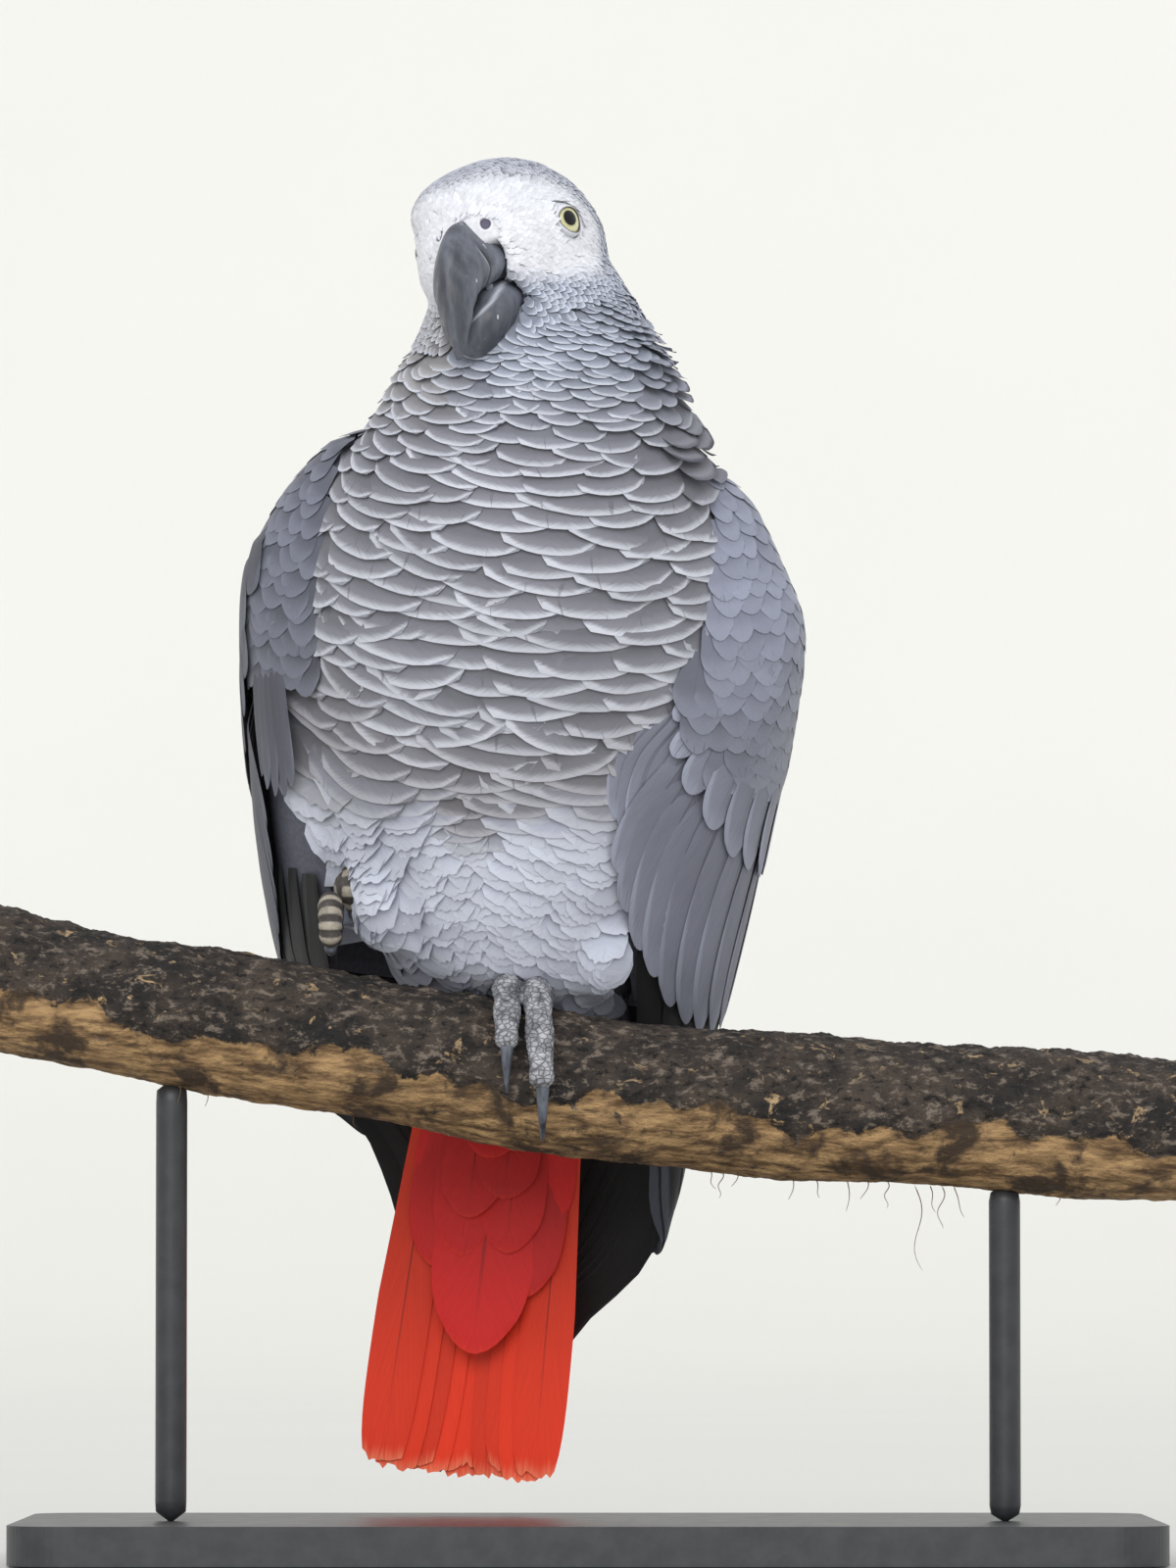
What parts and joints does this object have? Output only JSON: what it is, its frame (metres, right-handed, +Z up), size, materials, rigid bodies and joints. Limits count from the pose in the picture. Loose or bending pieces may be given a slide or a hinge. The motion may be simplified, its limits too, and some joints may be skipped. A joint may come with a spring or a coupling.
{
  "type": "grey parrot on perch",
  "caption": "Life-size still model of an African grey parrot standing on a cut branch, held by a plain display stand.",
  "frame": {"origin": "middle of the stand base's underside", "axes": "+Z up, the bird faces -Y, +X is to the viewer's right when facing it"},
  "size_m": [0.312, 0.15, 0.3549],
  "materials": {
    "face": "fine white and pale grey feathers",
    "bill": "charcoal horn with a dull gloss",
    "eye": "pale yellow iris with a black pupil",
    "body_feathers": "grey feathers with pale fringes",
    "belly_feathers": "soft pale blue-grey feathers",
    "wing_feathers": "smooth slate grey feathers, darker at the tips",
    "tail_feathers": "orange-red feathers",
    "foot_skin": "grey scaled skin",
    "claw": "dark horn",
    "bark": "rough dark bark, worn to ochre wood below",
    "stand": "satin dark paint"
  },
  "bodies": {
    "root": {"head": "face", "bill_upper": "bill", "bill_lower": "bill", "eye_left": "eye", "eye_right": "eye", "neck": "body_feathers", "torso": "body_feathers", "thigh_left": "belly_feathers", "thigh_right": "belly_feathers", "wing_left": "wing_feathers", "wing_right": "wing_feathers", "tail": "tail_feathers", "foot_left": "foot_skin", "foot_right": "foot_skin", "claw_left_inner_front": "claw", "claw_left_outer_front": "claw", "claw_left_inner_back": "claw", "claw_left_outer_back": "claw", "claw_right_inner_front": "claw", "claw_right_outer_front": "claw", "claw_right_inner_back": "claw", "claw_right_outer_back": "claw", "perch_branch": "bark", "stand_base": "stand", "stand_rod_left": "stand", "stand_rod_right": "stand"}
  },
  "joints": []
}
